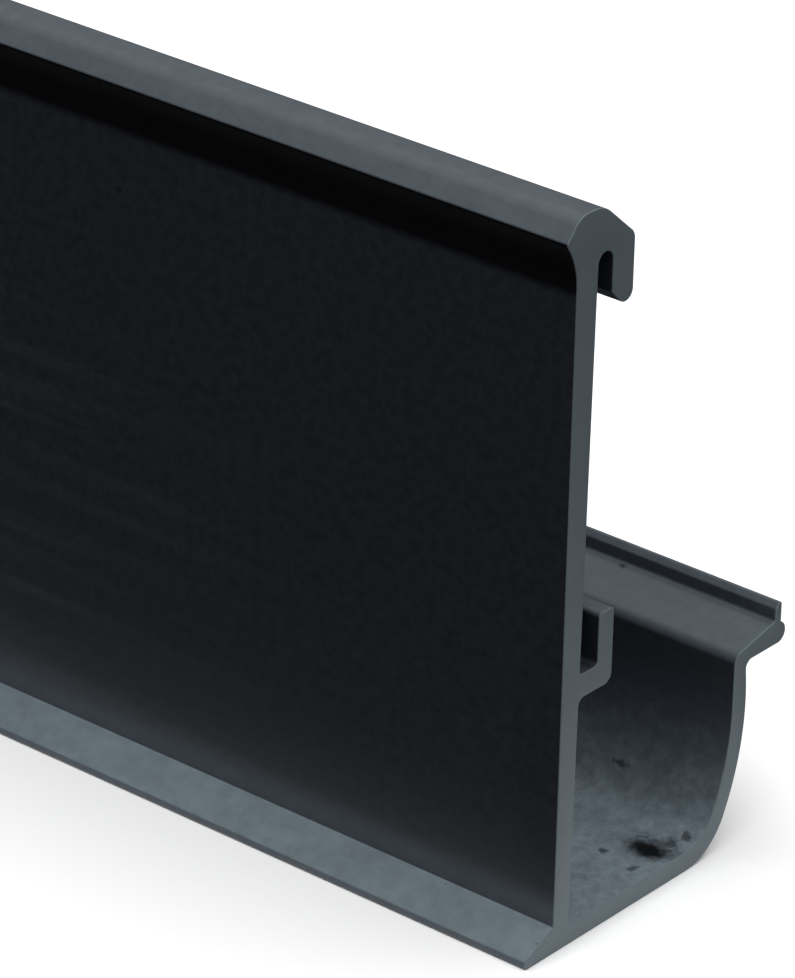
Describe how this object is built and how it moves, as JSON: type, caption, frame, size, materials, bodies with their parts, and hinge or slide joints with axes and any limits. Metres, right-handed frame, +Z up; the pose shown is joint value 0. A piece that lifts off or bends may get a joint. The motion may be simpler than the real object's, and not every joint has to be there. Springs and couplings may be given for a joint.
{
  "type": "extruded trim rail",
  "caption": "Extruded black vinyl trim rail: flat upright face, coved cap with rear hook, sloping front foot, rear pocket and an open rear trough with a flanged, ribbed rim.",
  "frame": {"origin": "middle of the length, on the flat underside, directly below the web's flat front face", "axes": "+X along the rail, +Y from the front face back towards the trough, +Z up to the cap"},
  "size_m": [0.15, 0.0328, 0.0635],
  "materials": {
    "black_vinyl": "rigid vinyl coloured black right through: satin skin with faint lengthwise die lines, duller saw-cut ends"
  },
  "bodies": {
    "root": {"trim_rail": "black_vinyl"}
  },
  "joints": []
}
